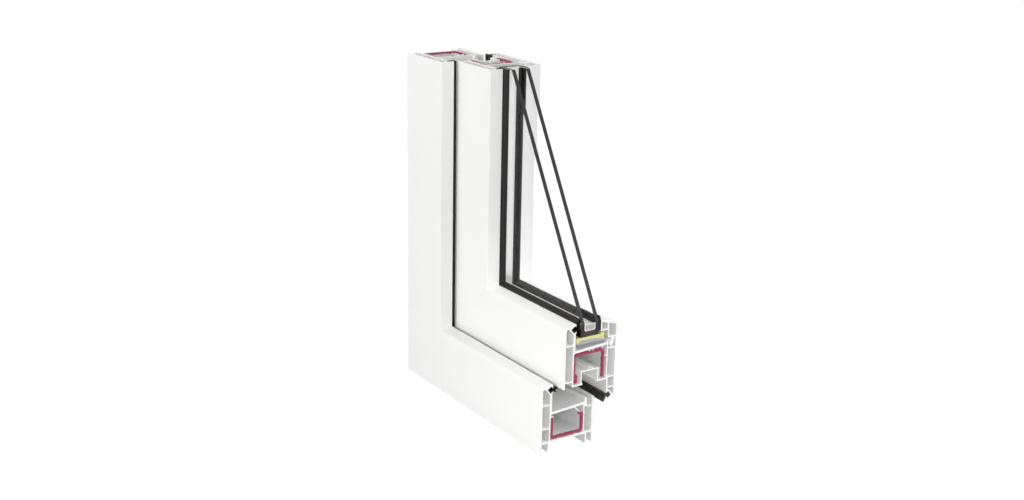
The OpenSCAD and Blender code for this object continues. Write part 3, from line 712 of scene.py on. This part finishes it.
# %% Gaskets in their seats
LIP_ROUND = 0.3 * mm
both_legs("frame_gasket", gasket_outline(LOWER_LIP, THIN_LIP, FRAME_LIP), LIP_ROUND, epdm,
          "frame_seal_sill", "frame_seal_jamb")
both_legs("overlap_gasket", gasket_outline(TUCKED_LIP, HANGING_LIP, OVERLAP_TURN, turned=True), LIP_ROUND,
          brown_epdm, "overlap_seal_rail", "overlap_seal_stile")
both_legs("glazing_gasket", gasket_outline(LOWER_LIP, WEDGE, SASH_LIP), LIP_ROUND, epdm,
          "glazing_seal_rail", "glazing_seal_stile")

# %% [markdown]
# ## Bead seal and edge sealant
# The bead presses the inner pane through a soft seal, whose lip stands above the bead's edge. The edge of
# the glass unit is closed with a brown paste, struck off between the panes, so its outer face is slightly
# hollow. On the room side a fillet of black butyl is squeezed out between the spacer and the pane. They are
# bars too, so the gaskets' tools make them, from sections written from the sash's lowest outdoor edge.

# %% Bead seal, sealant and butyl
BEAD_SEAL = ((38.03, 49.9), (38.03, 56.4), (39.3, 57.4), (38.9, 58.0), (38.03, 58.8), (38.03, 63.4),
             (38.3, 64.1), (38.8, 64.3), (39.2, 63.6), (39.7, 61.6), (40.1, 60.1), (40.47, 59.0),
             (40.47, 49.9))
SEALANT = ((22.03, 46.55), (22.03, 52.9), (23.0, 51.97), (33.0, 51.97), (33.97, 52.9), (33.97, 46.55),
           (32.0, 46.9), (28.0, 47.1), (24.0, 46.9))
BUTYL = ((33.97, 58.51), (31.7, 58.51), (32.5, 59.4), (33.97, 60.3))
SEAL_ROUND, SEALANT_ROUND, BUTYL_ROUND = 0.25 * mm, 0.2 * mm, 0.15 * mm


def on_sash(outline):
    """A section written from the sash's lowest outdoor edge, moved to where the sash stands."""
    return [(SASH_PLACE[0] + y, SASH_PLACE[1] + z) for y, z in outline]


both_legs("bead_seal", on_sash(BEAD_SEAL), SEAL_ROUND, epdm, "bead_seal_rail", "bead_seal_stile")
both_legs("edge_sealant", on_sash(SEALANT), SEALANT_ROUND, sealant,
          "sealant_rail", "sealant_stile")
both_legs("butyl_fillet", on_sash(BUTYL), BUTYL_ROUND, epdm, "spacer_rail", "spacer_stile",
          replace=False)

# %% [markdown]
# ## Panes
# A pane is a sheet cut on the slant from the top of the stile to the end of the rail, with its sharp edges
# just taken off. A block of the pane's size is sawn along the line between the two corners that the
# construction gives, and its edges are bevelled. The rim takes the dark cut-edge finish and the two faces
# stay clear. The construction's own sheet has the right outline, but its knife edges would catch no light.

# %% Saw the panes
ARRIS, ARRIS_STEPS = 0.3 * mm, 2
# a corner this close to the limit of its box lies on it
TOUCH = 0.01 * mm
FLAT_ON = 0.99


def saw_pane(name, node):
    """A pane in place of its node: a block of its size, cut on the slant, with a small bevel all round."""
    low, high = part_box(node)
    places = [v.co for v in nodes[node].data.vertices]
    top = max((v for v in places if v.z > high.z - TOUCH), key=lambda v: v.x)
    end = max((v for v in places if v.x > high.x - TOUCH), key=lambda v: v.z)
    bpy.ops.object.select_all(action="DESELECT")
    bpy.ops.mesh.primitive_cube_add(size=1, location=(low + high) / 2, scale=high - low)
    pane = bpy.context.object
    pane.name = pane.data.name = name
    bpy.ops.object.transform_apply(location=True, rotation=True, scale=True)
    cut(pane, end, (top.z - end.z, 0, end.x - top.x))
    edit(pane)
    bpy.ops.mesh.bevel(offset=ARRIS, segments=ARRIS_STEPS, affect="EDGES")
    bpy.ops.object.mode_set(mode="OBJECT")
    pane.data.materials.append(float_glass)
    pane.data.materials.append(cut_glass)
    for face in pane.data.polygons:
        face.material_index = 0 if abs(face.normal.y) > FLAT_ON else 1
    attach(pane, "root")
    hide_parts(node)
    slope = math.degrees(math.atan2(top.z - end.z, end.x - top.x))
    print(name, "is sawn at", round(slope, 1), "degrees")


saw_pane("outer_sheet", "outer_pane")
saw_pane("inner_sheet", "inner_pane")

# %% [markdown]
# ## Dress the hard pieces
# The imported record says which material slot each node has. The plastic, steel and spacers need one material
# for each leg, because their patterns run along it, so they go by the node's name as well. A list of all
# nodes with their materials would do the same, but it would have to be kept in step with the construction
# by hand.

# %% Assign the finishes
PLAIN_FINISHES = {"gasket": epdm, "glass": float_glass, "sealant": sealant, "yellow_plastic": yellow_plastic,
                  "grey_plastic": grey_plastic}


def finish_of(node, slot):
    """The material for a node: by its slot, and by its leg where the pattern runs along the piece."""
    is_upright = node.endswith(("jamb", "stile"))
    if slot == "pvc" and node.startswith("bead"):
        return bead_upright if is_upright else bead_level
    if slot == "pvc":
        return pvc_upright if is_upright else pvc_level
    if slot == "spacer":
        return spacer_upright if is_upright else spacer_level
    if slot == "galvanised_steel":
        return zinc[node]
    return PLAIN_FINISHES[slot]


for part in frame["record"]["subparts"]:
    node = nodes[part["node"]]
    node.data.materials.clear()
    node.data.materials.append(finish_of(part["node"], part["material_slot"]))
